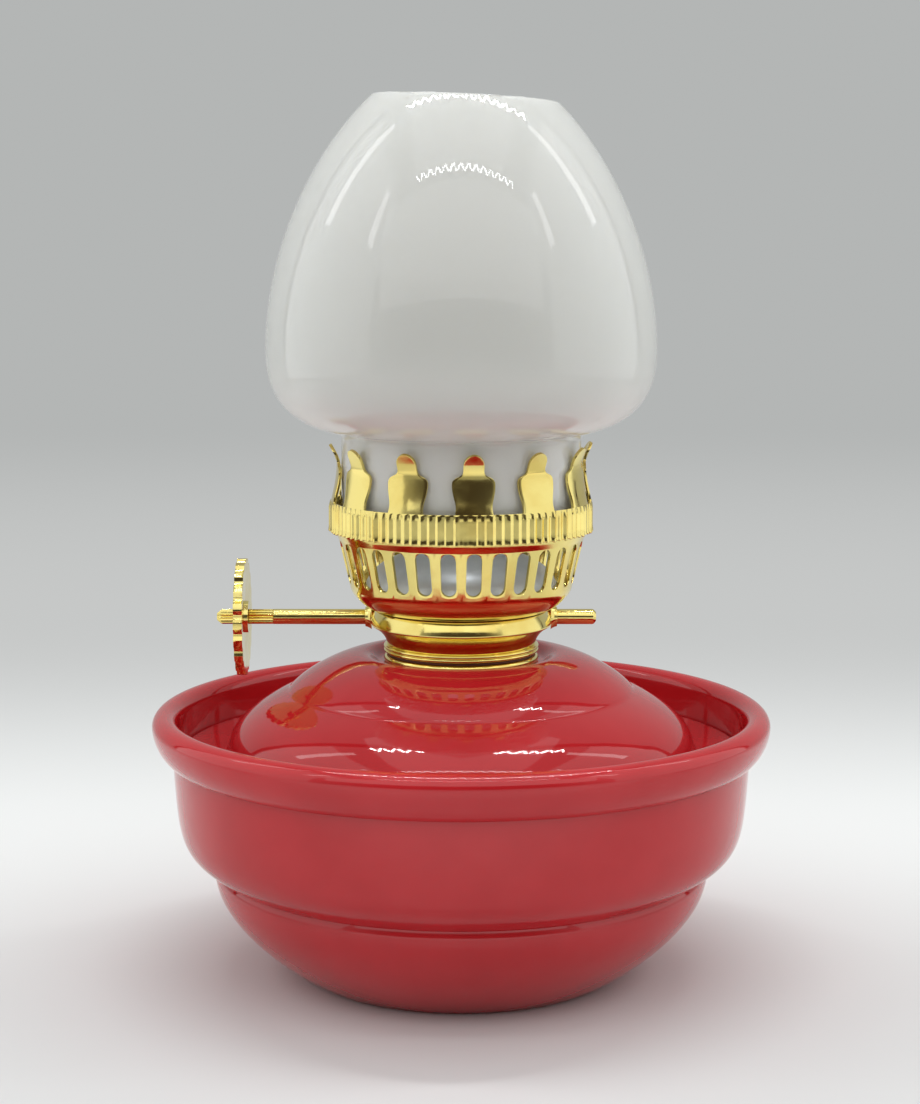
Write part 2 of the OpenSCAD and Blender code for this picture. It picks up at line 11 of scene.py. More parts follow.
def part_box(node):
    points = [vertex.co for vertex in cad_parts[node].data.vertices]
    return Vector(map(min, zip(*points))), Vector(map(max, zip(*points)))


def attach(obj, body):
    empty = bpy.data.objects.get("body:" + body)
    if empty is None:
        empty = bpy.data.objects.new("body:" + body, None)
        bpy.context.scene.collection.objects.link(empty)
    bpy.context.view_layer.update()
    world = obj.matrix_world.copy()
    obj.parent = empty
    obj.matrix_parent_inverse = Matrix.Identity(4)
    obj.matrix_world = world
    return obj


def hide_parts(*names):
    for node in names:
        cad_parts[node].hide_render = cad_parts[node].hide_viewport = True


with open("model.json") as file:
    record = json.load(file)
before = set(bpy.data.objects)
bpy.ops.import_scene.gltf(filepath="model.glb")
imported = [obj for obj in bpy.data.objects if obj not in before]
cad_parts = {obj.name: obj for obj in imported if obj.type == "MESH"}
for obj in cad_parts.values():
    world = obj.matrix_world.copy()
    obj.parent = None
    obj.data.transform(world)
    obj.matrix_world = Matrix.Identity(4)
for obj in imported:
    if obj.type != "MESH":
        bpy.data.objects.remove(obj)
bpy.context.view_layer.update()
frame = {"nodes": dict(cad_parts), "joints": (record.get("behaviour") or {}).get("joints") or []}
MM = 0.001


# Bowl. Pressed from one steel sheet and dipped in red enamel: a flat foot, a step at mid height,
# a round belly, and the rim rolled outwards and curled down until it nearly meets the wall.
def corners(node):
    """A CAD node's lowest and highest corners, in mm."""
    low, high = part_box(node)
    return low / MM, high / MM


def curve(points, n, beside=0):
    """Points along a cubic curve with these 4 control points, or along a line beside it."""
    a, b, c, d = (Vector(p) for p in points)
    line = []
    for i in range(n + 1):
        t = i / n
        point = (1 - t) ** 3 * a + 3 * t * (1 - t) ** 2 * b + 3 * t * t * (1 - t) * c + t ** 3 * d
        slope = (1 - t) ** 2 * (b - a) + 2 * t * (1 - t) * (c - b) + t * t * (d - c)
        line.append(point + beside * Vector((-slope.y, slope.x)) / slope.length)
    return line


def arc(centre, radius, start, end, n):
    """Points along an arc, its angles in degrees."""
    angles = [math.radians(start + (end - start) * i / n) for i in range(n + 1)]
    return [Vector(centre) + radius * Vector((math.cos(w), math.sin(w))) for w in angles]


def mesh_edit(*steps):
    """Runs mesh operators one after another in edit mode, each on what is selected then."""
    bpy.ops.object.mode_set(mode="EDIT")
    for operator, values in steps:
        operator(**values)
    bpy.ops.object.mode_set(mode="OBJECT")


ALL = (bpy.ops.mesh.select_all, {"action": "SELECT"})
NONE = (bpy.ops.mesh.select_all, {"action": "DESELECT"})
WELD = (bpy.ops.mesh.remove_doubles, {"threshold": 0.002 * MM})
OUTWARDS = (bpy.ops.mesh.normals_make_consistent, {"inside": False})


def smooth(piece, angle=40):
    bpy.ops.object.select_all(action="DESELECT")
    piece.select_set(True)
    bpy.context.view_layer.objects.active = piece
    bpy.ops.object.shade_smooth_by_angle(angle=math.radians(angle))


def round_edges(piece, width):
    """Rounds a piece's sharp edges."""
    bpy.context.view_layer.objects.active = piece
    mesh_edit(NONE, (bpy.ops.mesh.edges_select_sharp, {"sharpness": math.radians(35)}),
              (bpy.ops.mesh.bevel, {"offset": width * MM, "segments": 2, "clamp_overlap": True}))


def turned(name, outline, steps=160, edge=0):
    """A piece turned about Z: a point is extruded along the outline, and the line is spun.
    edge rounds what is left sharp."""
    bpy.ops.object.select_all(action="DESELECT")
    bpy.ops.mesh.primitive_plane_add(size=MM)
    piece = bpy.context.object
    piece.name = piece.data.name = name
    start = Vector(outline[0])
    bpy.ops.object.mode_set(mode="EDIT")
    bpy.ops.mesh.merge(type="CENTER")
    bpy.ops.transform.translate(value=(start.x * MM, 0, start.y * MM))
    for here, there in zip(outline, outline[1:]):
        move = (Vector(there) - Vector(here)) * MM
        bpy.ops.mesh.extrude_region_move(TRANSFORM_OT_translate={"value": (move.x, 0, move.y)})
    bpy.ops.object.mode_set(mode="OBJECT")
    spin = {"steps": steps, "angle": 2 * math.pi, "center": (0, 0, 0), "axis": (0, 0, 1)}
    mesh_edit(ALL, (bpy.ops.mesh.spin, spin), ALL, WELD, OUTWARDS)
    if edge:
        round_edges(piece, edge)
    smooth(piece)
    return piece


class Wire:
    """A socket in a material's nodes. Operators add Math nodes, and node() adds any other one from
    its type, its settings and the values or wires of its sockets."""

    def __init__(self, tree, socket=None):
        self.tree = tree
        self.socket = socket

    def node(self, kind, settings, sockets, out=0):
        made = self.tree.nodes.new(kind)
        for name, value in settings.items():
            setattr(made, name, value)
        for name, value in sockets.items():
            if isinstance(value, Wire):
                self.tree.links.new(value.socket, made.inputs[name])
            else:
                made.inputs[name].default_value = value
        return Wire(self.tree, made.outputs[out])

    def into(self, shader, socket):
        self.tree.links.new(self.socket, shader.inputs[socket])

    def math(self, operation, a, b):
        return self.node("ShaderNodeMath", {"operation": operation}, {0: a, 1: b})

    def __add__(self, other):
        return self.math("ADD", self, other)

    def __sub__(self, other):
        return self.math("SUBTRACT", self, other)

    def __rsub__(self, other):
        return self.math("SUBTRACT", other, self)

    def __mul__(self, other):
        return self.math("MULTIPLY", self, other)

    def __rmul__(self, other):
        return self.math("MULTIPLY", other, self)

    def __abs__(self):
        return self.node("ShaderNodeMath", {"operation": "ABSOLUTE"}, {0: self})

    def noise(self, scale, detail, stretch=(1, 1, 1)):
        """Cloudy values about 0.5 on the piece's own coordinates, scale in spots per metre."""
        place = self.node("ShaderNodeTexCoord", {}, {}, "Object")
        place = self.node("ShaderNodeMapping", {}, {"Vector": place, "Scale": stretch})
        sockets = {"Vector": place, "Scale": scale, "Detail": detail}
        return self.node("ShaderNodeTexNoise", {}, sockets)

    def ramp(self, low, high, start=0, end=1):
        """This value taken smoothly from low..high to start..end."""
        sockets = {"Value": self, "From Min": low, "From Max": high, "To Min": start, "To Max": end}
        return self.node("ShaderNodeMapRange", {"interpolation_type": "SMOOTHSTEP"}, sockets)

    def blend(self, a, b):
        """Colour a where this value is 0 and colour b where it is 1."""
        return self.node("ShaderNodeMix", {"data_type": "RGBA"}, {0: self, 6: a, 7: b}, 2)

    def bump(self, depth):
        """Normals of this value as a height of that many metres."""
        sockets = {"Height": self, "Distance": depth, "Strength": 1}
        return self.node("ShaderNodeBump", {}, sockets, "Normal")


def new_finish(name, **plain):
    """A material whose plain values go straight to its shader; returns it, a wire and the shader."""
    made = bpy.data.materials.new(name)
    made.use_nodes = True
    shader = made.node_tree.nodes["Principled BSDF"]
    for socket, value in plain.items():
        shader.inputs[socket.replace("_", " ")].default_value = value
    return made, Wire(made.node_tree), shader


def fit(piece, finish, body, node):
    """Gives a piece its finish, the body that it rides on and the CAD node that it stands for."""
    piece.data.materials.clear()
    piece.data.materials.append(finish)
    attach(piece, body)
    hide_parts(node)


ENAMEL_RED = (0.52, 0.018, 0.024, 1)
ENAMEL_DEEP = (0.47, 0.013, 0.018, 1)
enamel, wire, shader = new_finish("red_enamel", IOR=1.52)
wire.noise(60, 3).ramp(0.3, 0.7).blend(ENAMEL_RED, ENAMEL_DEEP).into(shader, "Base Color")
wire.noise(140, 2).ramp(0.3, 0.7, 0.025, 0.06).into(shader, "Roughness")
wire.noise(210, 1).bump(0.00003).into(shader, "Normal")

rim_r = corners("bowl")[1].x
bowl_h, roll_r, curl_h, wall_t = 45, 2.15, 5.4, 0.8
foot_r, step_r, step_h, step_round, step_turn = 26.4, 41.75, 18.2, 3, 28
roll = Vector((rim_r - roll_r, bowl_h - roll_r))
step_c = Vector((step_r - step_round, step_h - step_round * math.sin(math.radians(step_turn))))
wall_r = rim_r - 2 * roll_r + wall_t
curl_low = roll.y - curl_h
belly_top = curl_low - 2
shoulder = arc(step_c, step_round, 4, step_turn, 12)
body_line = [(foot_r, 0), (foot_r + 5.22, 0.155 * step_h), (step_r - 0.7, 0.555 * step_h),
             (step_r, step_c.y)]
belly_line = [shoulder[-1], (wall_r - 1.22, step_h + 3.97), (wall_r - 0.74, step_h + 4.31),
              (wall_r, belly_top)]
curl_line = [(rim_r, roll.y), (rim_r, roll.y - 1.84), (rim_r - 1.1, curl_low + 1.08),
             (wall_r + 0.6, curl_low)]
bowl = turned("enamel_bowl", [
    (0, 0), *curve(body_line, 32), *shoulder, *curve(belly_line, 32)[1:], (wall_r, roll.y),
    *arc(roll, roll_r - wall_t, 170, 0, 12), *curve(curl_line, 16, -wall_t),
    *curve(curl_line, 16)[::-1], *arc(roll, roll_r, 8, 180, 24),
    *curve(belly_line, 16, wall_t)[::-1], *arc(step_c, step_round - wall_t, step_turn, 4, 6),
    *curve(body_line, 16, wall_t)[::-1], (0, wall_t)], 192)
fit(bowl, enamel, "lamp_base", "bowl")


# Tank dome. A second enamelled pressing in two tiers with a crease between them; its hole dips to
# seat the collar, and its edge turns down as a lip that is soldered into the bowl.
low, high = corners("tank_dome")
lip_r, lip_low, crown_z = high.x, low.z, high.z
sheet_t, fillet_r = 0.6, 0.6
hole_r, seat_r, crown_r, tier_r, dome_r = 11.85, 13.55, 16.55, 29.1, 39.4
crown_h, tier_h = 6.2, 10.3
seat_z, tier_z = crown_z - 1.4, crown_z - crown_h
trough_z = tier_z - tier_h
lip_in, under_z = lip_r - sheet_t, trough_z - sheet_t
rise_line = [(seat_r, seat_z), (seat_r + 1, seat_z), (crown_r - 1.6, crown_z), (crown_r, crown_z)]
upper_line = [(crown_r, crown_z), (crown_r + 3.9, crown_z), (tier_r - 2.6, tier_z + 0.47 * crown_h),
              (tier_r - 0.2, tier_z + 0.3)]
lower_line = [(tier_r, tier_z), (tier_r + 0.38 * (dome_r - tier_r), tier_z - 0.18 * tier_h),
              (dome_r - 0.2, trough_z + 0.5 * tier_h), (dome_r, trough_z + fillet_r)]
dome = turned("enamel_dome", [
    (hole_r, seat_z), *curve(rise_line, 12), *curve(upper_line, 24)[1:], *curve(lower_line, 28),
    *arc((dome_r + fillet_r, trough_z + fillet_r), fillet_r, 190, 270, 6),
    *arc((lip_r - fillet_r, trough_z - fillet_r), fillet_r, 90, 0, 6),
    (lip_r, lip_low), (lip_in, lip_low), (lip_in, under_z), (dome_r - sheet_t, under_z),
    *curve(lower_line, 14, -sheet_t)[::-1], *curve(upper_line, 12, -sheet_t)[::-1],
    *curve(rise_line, 8, -sheet_t)[::-1], (hole_r, seat_z - sheet_t), (hole_r, seat_z)], 192)
fit(dome, enamel, "lamp_base", "tank_dome")


# Neck collar. Spun brass with a bright plate, clinched into the dome's hole: a bead above the
# sheet, a flare below it, and the burner's thread inside.
BRASS = (0.87, 0.73, 0.25, 1)
BRASS_WARM = (0.80, 0.62, 0.18, 1)
brass, wire, shader = new_finish("brass_plate", Metallic=1)
wire.noise(130, 4).ramp(0.4, 0.7).blend(BRASS, BRASS_WARM).into(shader, "Base Color")
wire.noise(320, 3).ramp(0.3, 0.7, 0.07, 0.17).into(shader, "Roughness")
wire.noise(260, 2).bump(0.00004).into(shader, "Normal")

low, high = corners("neck_collar")
thread_r, seat_gap, bead_r = 11, 0.05, 0.6
sleeve_r, bead_x = hole_r - seat_gap, high.x - bead_r
flare_r, flare_top = sleeve_r + 1.1, seat_z - sheet_t - seat_gap
flare_low = flare_top - 0.5
collar = turned("brass_collar", [
    (thread_r, low.z), (sleeve_r, low.z), (sleeve_r, flare_low), (flare_r, flare_low),
    (flare_r, flare_top), (sleeve_r, flare_top), (sleeve_r, seat_z),
    *arc((bead_x, high.z - bead_r), bead_r, -90, 90, 16), (thread_r, high.z), (thread_r, low.z)],
    edge=0.08)
fit(collar, brass, "lamp_base", "neck_collar")


# Sealing washer. Cut from red-brown rubber sheet, loose between the collar and the burner's skirt.
# Only its edge shows, so the CAD piece is kept.
def keep(node, finish):
    """A CAD piece that stays as it is, with its finish."""
    piece = frame["nodes"][node]
    piece.data.materials.clear()
    piece.data.materials.append(finish)


RUBBER = (0.17, 0.06, 0.04, 1)
RUBBER_DARK = (0.12, 0.04, 0.03, 1)
rubber, wire, shader = new_finish("washer_rubber", IOR=1.5)
wire.noise(400, 3).blend(RUBBER, RUBBER_DARK).into(shader, "Base Color")
wire.noise(700, 2).ramp(0.3, 0.7, 0.5, 0.7).into(shader, "Roughness")
keep("sealing_washer", rubber)


# Burner skirt. Brass sleeve with the thread that screws into the collar, and a bead of two fine
# rolls on top that comes down on the washer.
low, high = corners("burner_skirt")
skirt_r = thread_r - 0.08
skirt_in, skirt_seat = skirt_r - 0.7, high.z - 2 * bead_r
fine_x, fine_r = bead_x + 0.3, 0.29
skirt = turned("brass_skirt", [
    (skirt_in, low.z), (skirt_r, low.z), (skirt_r, skirt_seat),
    *arc((fine_x, skirt_seat + fine_r), fine_r, -90, 75, 10),
    *arc((fine_x, high.z - fine_r), fine_r, -75, 90, 10), (skirt_in, high.z), (skirt_in, low.z)],
    edge=0.06)
fit(skirt, brass, "burner", "burner_skirt")


# Burner cup. Spun brass: a cove that rises from the skirt's bead to an angular belt, with a hole
# on each side for the shaft's bushes.
def cut(piece, cutter):
    """Takes the cutter's shape out of a piece and removes the cutter."""
    bpy.ops.object.select_all(action="DESELECT")
    bpy.context.view_layer.objects.active = piece
    hole = piece.modifiers.new("cut", "BOOLEAN")
    hole.object = cutter
    bpy.ops.object.modifier_apply(modifier=hole.name)
    bpy.data.objects.remove(cutter)


low, high = corners("burner_cup")
cup_low, belt_top, ridge_r = low.z, high.z, high.x
cove_h, ridge_h, belt_slant = 3.4, 0.3, 0.8
ridge_low, belt_r = cup_low + cove_h, ridge_r - belt_slant
ridge_top = ridge_low + ridge_h
cove_line = [(bead_x, cup_low), (bead_x + 0.2, cup_low + 0.42 * cove_h),
             (ridge_r - 1.6, cup_low + 0.7 * cove_h), (ridge_r - 0.1, ridge_low - 0.1)]
cup = turned("brass_cup", [
    *curve(cove_line, 20), (ridge_r, ridge_low), (ridge_r, ridge_top), (belt_r, belt_top),
    (belt_r - sheet_t, belt_top), (ridge_r - sheet_t, ridge_top),
    *curve(cove_line, 20, sheet_t)[16:0:-1], (bead_x - sheet_t, cup_low), (bead_x, cup_low)],
    edge=0.08)

bush_r = 1.65
bush_hole_r, through = bush_r + seat_gap, 3 * ridge_r
shaft_place = next(joint["pos_m"] for joint in frame["joints"] if joint["name"] == "winder_turn")
bpy.ops.mesh.primitive_cylinder_add(vertices=48, radius=bush_hole_r * MM, depth=through * MM,
                                    rotation=(0, math.pi / 2, 0), location=shaft_place)
cut(cup, bpy.context.object)
smooth(cup)
fit(cup, brass, "burner", "burner_cup")


# Shaft bushes. Two short turned tubes in the belt's holes, each with a flange that thins outwards
# like a small trumpet.
def lay_along_x(piece, turn=1):
    """Lays a piece that was turned about Z along the shaft; turn -1 points it to -X."""
    bpy.ops.object.select_all(action="DESELECT")
    piece.select_set(True)
    bpy.context.view_layer.objects.active = piece
    piece.rotation_euler = (0, turn * math.pi / 2, 0)
    piece.location = shaft_place
    bpy.ops.object.transform_apply(location=True, rotation=True, scale=True)


low, high = corners("shaft_bush_right")
bush_bore, flange_r, flange_x = 1.35, 2.15, low.x + 2.6
trumpet_line = [(flange_r, flange_x + 0.06), (bush_r + 0.3, flange_x + 0.26),
                (bush_r + 0.1, flange_x + 0.61), (bush_r, high.x)]
bush_line = [(bush_bore, low.x), (bush_r, low.x), (bush_r, flange_x), (flange_r, flange_x),
             *curve(trumpet_line, 8), (bush_bore, high.x), (bush_bore, low.x)]
for side, turn in (("left", -1), ("right", 1)):
    bush = turned("brass_bush_" + side, bush_line, 48, 0.04)
    lay_along_x(bush, turn)
    fit(bush, brass, "burner", "shaft_bush_" + side)


# Air plate, wick tube and spur cover. Hidden in the burner: a perforated steel plate that carries
# a flat folded brass tube, and a brass box on the tube's back round the spur wheels.
STEEL = (0.78, 0.83, 0.88, 1)
STEEL_DULL = (0.68, 0.73, 0.78, 1)
steel, wire, shader = new_finish("bright_steel", Metallic=0.3)
wire.noise(180, 4).ramp(0.35, 0.7).blend(STEEL, STEEL_DULL).into(shader, "Base Color")
wire.noise(300, 3).ramp(0.3, 0.7, 0.3, 0.45).into(shader, "Roughness")
wire.noise(500, 2).bump(0.00002).into(shader, "Normal")
keep("air_plate", steel)
keep("wick_tube", brass)
keep("spur_cover", brass)


# Air basket. Brass sheet drawn to a bowl and pierced with 30 upright slots, soldered to the
# belt's top edge. One slot's share of it is drawn, and copied round.
def place_grid(name, across, along, place):
    """A grid of quads whose corners go to place(u, v), with u and v from 0 to 1."""
    bpy.ops.object.select_all(action="DESELECT")
    bpy.ops.mesh.primitive_grid_add(x_subdivisions=across, y_subdivisions=along, size=1)
    piece = bpy.context.object
    piece.name = piece.data.name = name
    for corner in piece.data.vertices:
        corner.co = Vector(place(corner.co.x + 0.5, corner.co.y + 0.5)) * MM
    return piece


def join(piece, *others):
    bpy.ops.object.select_all(action="DESELECT")
    for each in (piece, *others):
        each.select_set(True)
    bpy.context.view_layer.objects.active = piece
    bpy.ops.object.join()


def copy_round(piece, count):
    """Repeats a piece evenly round the axis within its own mesh and welds the copies."""
    bpy.context.view_layer.objects.active = piece
    spin = {"steps": count - 1, "dupli": True, "angle": 2 * math.pi * (count - 1) / count,
            "center": (0, 0, 0), "axis": (0, 0, 1)}
    mesh_edit(ALL, (bpy.ops.mesh.spin, spin), ALL, WELD)


def thicken(piece, thickness, edge):
    """Turns a surface's face outwards, gives it thickness on the inside and rounds its edges."""
    bpy.context.view_layer.objects.active = piece
    mesh_edit(ALL, WELD, OUTWARDS)
    outwards = sum(f.area * f.normal.dot(Vector((f.center.x, f.center.y, 0)).normalized())
                   for f in piece.data.polygons)
    if outwards < 0:
        mesh_edit(ALL, (bpy.ops.mesh.flip_normals, {}))
    solid = piece.modifiers.new("solid", "SOLIDIFY")
    solid.thickness = thickness * MM
    solid.offset = -1
    solid.use_even_offset = True
    bpy.ops.object.modifier_apply(modifier=solid.name)
    soft = piece.modifiers.new("soft", "BEVEL")
    soft.width = edge * MM
    soft.segments = 2
    soft.angle_limit = math.radians(50)
    bpy.ops.object.modifier_apply(modifier=soft.name)
    smooth(piece)


def radius_on(line, height):
    """The radius of a rising line of points at a height."""
    for low, high in zip(line, line[1:]):
        if height <= high.y:
            return low.x + (high.x - low.x) * max(height - low.y, 0) / (high.y - low.y)
    return line[-1].x


low, high = corners("air_basket")
basket_low, basket_top, basket_r = low.z, high.z, high.x
basket_foot = belt_r - 0.25
knee, lip = Vector((basket_r - 2.6, basket_low + 3.9)), Vector((basket_r - 0.7, basket_top - 1.5))
basket_curve = [(basket_foot, basket_low), (basket_foot + 1.7, basket_low + 0.5),
                (knee.x - 0.4, knee.y - 1.6), knee]
basket_line = [*curve(basket_curve, 40), lip, Vector((basket_r, basket_top))]
slot_count, slot_w, slot_low, slot_high = 30, 2.5, knee.y + 1, lip.y - 0.06
share = math.pi / slot_count
# Round the slot's edge in 32 steps: the way each point lies from its end's centre, and which end
slot_turn = [-45, -22.5, 0, 0, 0, 0, 0, 22.5, *(45 + 11.25 * k for k in range(8)),
             135, 157.5, 180, 180, 180, 180, 180, 202.5, *(225 + 11.25 * k for k in range(8))]
slot_rise = [0, 0, 0, 0.25, 0.5, 0.75, 1, 1, *[1] * 8, 1, 1, 1, 0.75, 0.5, 0.25, 0, 0, *[0] * 8]


def basket_point(angle, height):
    radius = radius_on(basket_line, height)
    return radius * math.cos(angle), radius * math.sin(angle), height


def slot_point(u, v):
    """From the slot's edge at v 0 to the border of its share at v 1, going round with u."""
    i = round(u * 32) % 32
    side, k = divmod(i, 8)
    way = math.radians(slot_turn[i])
    end = slot_low + slot_w / 2 + slot_rise[i] * (slot_high - slot_low - slot_w)
    height = end + slot_w / 2 * math.sin(way)
    angle = slot_w / 2 * math.cos(way) / radius_on(basket_line, height)
    along = share * (1 - k / 4)
    up = (lip.y - knee.y) * k / 8
    corner = [(share, knee.y + up), (along, lip.y), (-share, lip.y - up), (-along, knee.y)][side]
    return basket_point(angle + (corner[0] - angle) * v, height + (corner[1] - height) * v)


basket = place_grid("brass_basket", 32, 3, slot_point)
under = place_grid("basket_under", 8, 8, lambda u, v: basket_point(
    share * (1 - 2 * u), basket_low + (knee.y - basket_low) * v))
over = place_grid("basket_over", 8, 4, lambda u, v: basket_point(
    share * (1 - 2 * u), lip.y + (basket_top - lip.y) * v * v))
join(basket, under, over)
copy_round(basket, slot_count)
thicken(basket, sheet_t, 0.1)
fit(basket, brass, "burner", "air_basket")


# Flame deflector. A bright steel dome over the wick inside the basket, slotted for the flame, that
# draws the air together there.
deflector_r, deflector_t, deflector_h = 16.5, 0.5, 7.5
deflector_low = basket_low + 2.9
deflector_top = deflector_low + deflector_h
deflector_line = [(deflector_r, deflector_low),
                  (deflector_r - 0.8, deflector_low + 0.66 * deflector_h),
                  (0.64 * deflector_r, deflector_top), (0, deflector_top)]
inside = [(max(p.x, 0), p.y) for p in curve(deflector_line, 24, deflector_t)[::-1]]
deflector = turned("steel_deflector",
                   [*curve(deflector_line, 32), *inside, (deflector_r, deflector_low)], 128)
flame_r, flame_run = 2.7, 4.7
bpy.ops.mesh.primitive_cylinder_add(vertices=48, radius=flame_r * MM, depth=2 * deflector_h * MM,
                                    location=(0, 0, deflector_top * MM))
flame_slot = bpy.context.object
for corner in flame_slot.data.vertices:
    corner.co.x += math.copysign(flame_run * MM, corner.co.x)
cut(deflector, flame_slot)
smooth(deflector)
fit(deflector, steel, "burner", "flame_deflector")


# Prong crown. A strip of thin brass, its band pressed with upright ribs of uneven depth and its upper
# edge cut to 12 spring prongs that lean in to the glass and flare out at their tips. A flat shelf
# inside the band carries the chimney.
random.seed(12)
low, high = corners("prong_crown")
prong_h, prong_t, prong_count, prong_turn = 9.4, 0.5, 12, math.radians(5.5)
band_low, band_top, band_r, band_t = low.z, high.z - prong_h, 21.75, 0.4
rib_count, rib_steps, rib_depth, hem_flare, hem_wave = 96, 6, 0.4, 0.12, 0.25
rib_heights = [random.uniform(0.55, 1.0) for _ in range(rib_count)]
rib_shifts = [random.uniform(-0.12, 0.12) for _ in range(rib_count)]


def band_point(u, v):
    """The band's outer face: ribs of uneven depth that run out at the top, and a wavy lower edge."""
    i, along = divmod(u * rib_count, 1)
    i = int(i) % rib_count
    swell = math.sin(math.pi * along) ** 2
    rib = rib_heights[i] * swell
    angle = 2 * math.pi * (u + rib_shifts[i] * swell / rib_count)
    radius = band_r + rib_depth * rib * min(1, (1.15 - v) / 0.35)
    radius += hem_flare * max(0, 1 - v / 0.18) ** 2
    height = band_low + (band_top - band_low) * v + hem_wave * (0.5 - rib) * max(0, 1 - v / 0.3)
    return radius * math.cos(angle), radius * math.sin(angle), height


prong_root, prong_in, prong_out = band_r - band_t, 20.3, 21.6
bend_h, bulge_h = 0.64 * prong_h, 0.5 * prong_h
lean_line = [(prong_root, -0.6), (prong_root - 0.3, 0.15 * prong_h), (prong_in + 0.1, 0.3 * prong_h),
             (prong_in, bend_h)]
flare_line = [(prong_in, bend_h), (prong_in, 0.76 * prong_h), (prong_in + 0.45, 0.83 * prong_h),
              (prong_out, prong_h)]
prong_line = [*curve(lean_line, 24), *curve(flare_line, 24)[1:]]
bulge, tip = 3.5, 1.68
waist_line = [(0.93 * bulge, -0.4), (0.7 * bulge, 0.18 * prong_h), (bulge, 0.24 * prong_h),
              (bulge, bulge_h)]
neck_line = [(bulge, bulge_h), (bulge, 0.66 * prong_h), (tip, 0.6 * prong_h), (tip, 0.73 * prong_h)]
prong_side = [Vector((bulge, -1)), *curve(waist_line, 12), *curve(neck_line, 12)[1:],
              *arc((0, prong_h - tip), tip, 0, 90, 10)]


def prong_point(u, v):
    """The first prong's outer face: across it with u, and from its root to its tip with v."""
    half, up = prong_side[round(v * (len(prong_side) - 1))]
    radius = radius_on(prong_line, up) + prong_t
    angle = prong_turn + half * (2 * u - 1) / radius
    return radius * math.sin(angle), -radius * math.cos(angle), band_top + up


crown = place_grid("brass_crown", rib_count * rib_steps, 14, band_point)
thicken(crown, band_t, 0.06)
prongs = place_grid("crown_prongs", 12, len(prong_side) - 1, prong_point)
copy_round(prongs, prong_count)
thicken(prongs, prong_t, 0.08)
shelf_in, shelf_r, shelf_low = 18.2, band_r - 0.25, band_low + seat_gap
shelf_top = shelf_low + sheet_t
shelf = turned("crown_shelf", [
    (shelf_in, shelf_low), (shelf_r, shelf_low), (shelf_r, shelf_top), (shelf_in, shelf_top),
    (shelf_in, shelf_low)], 128, 0.08)
join(crown, prongs, shelf)
fit(crown, brass, "burner", "prong_crown")


# Winder shaft and spur wheels. A plated rod across the burner, knurled where the thumb wheel sits
# and plain at its other end, with two toothed wheels behind the wick that stay as the CAD has them.
low, high = corners("winder_shaft")
shaft_r, knurl_count, knurl_depth = 1.3, 16, 0.16
knurl_r, knurl_end = shaft_r - 0.03, low.x + 9.5
shaft = turned("brass_shaft", [
    (0, low.x), (0.6, low.x), (1.2, low.x + 0.7), (knurl_r, low.x + 0.9), (knurl_r, knurl_end),
    (shaft_r, knurl_end + 0.15), (shaft_r, high.x - 0.6), (1.2, high.x - 0.35), (0.8, high.x),
    (0, high.x)], knurl_count * 6)
for corner in shaft.data.vertices:
    if corner.co.z < (knurl_end + 0.1) * MM:
        groove = 0.5 - 0.5 * math.cos(knurl_count * math.atan2(corner.co.y, corner.co.x))
        corner.co.x *= 1 - knurl_depth * groove
        corner.co.y *= 1 - knurl_depth * groove
smooth(shaft, 30)
lay_along_x(shaft)
fit(shaft, brass, "winder", "winder_shaft")
keep("spur_wheel_left", steel)
keep("spur_wheel_right", steel)


# Thumb wheel. Stamped brass pressed on the knurled end: a hub, slightly dished faces, and a rim
# with 20 scallops for the thumb.
low, high = corners("thumb_wheel")
wheel_x, hub_half = (low.x + high.x) / 2, (high.x - low.x) / 2
hub_r, web_half, rim_in, rim_half, wheel_r = 2.7, 0.45, 8.7, 0.75, 9.95
scallop_count, scallop_r, scallop_out = 20, 0.9, 0.35
face_line = [(shaft_r, hub_half), (hub_r, hub_half), (hub_r, web_half), (rim_in, rim_half),
             (wheel_r, rim_half)]
wheel = turned("brass_wheel", [
    *((r, wheel_x - x) for r, x in face_line), *((r, wheel_x + x) for r, x in face_line[::-1]),
    (shaft_r, wheel_x - hub_half)], scallop_count * 10)
for corner in wheel.data.vertices:
    radius = math.hypot(corner.co.x, corner.co.y) / MM
    if radius > (rim_in + wheel_r) / 2:
        part_of_scallop = (math.atan2(corner.co.y, corner.co.x) * scallop_count / (2 * math.pi)) % 1
        along_rim = (part_of_scallop - 0.5) * 2 * math.pi * wheel_r / scallop_count
        depth = max(0, math.sqrt(max(scallop_r ** 2 - along_rim ** 2, 0)) - scallop_out) / radius
        corner.co.x *= 1 - depth
        corner.co.y *= 1 - depth
round_edges(wheel, 0.1)
smooth(wheel)
lay_along_x(wheel)
fit(wheel, brass, "winder", "thumb_wheel")


# Wick. A flat strip woven from thick cotton yarn, soft and 12 mm wide. It runs from the oil up the
# tube and ends just above the deflector's slot.
COTTON = (0.80, 0.77, 0.69, 1)
COTTON_DARK = (0.60, 0.56, 0.48, 1)
cotton, wire, shader = new_finish("wick_cotton", IOR=1.45)
yarn = wire.noise(900, 2, (1, 1, 0.35))
yarn.blend(COTTON, COTTON_DARK).into(shader, "Base Color")
yarn.ramp(0.3, 0.7, 0.8, 0.95).into(shader, "Roughness")
yarn.bump(0.0002).into(shader, "Normal")

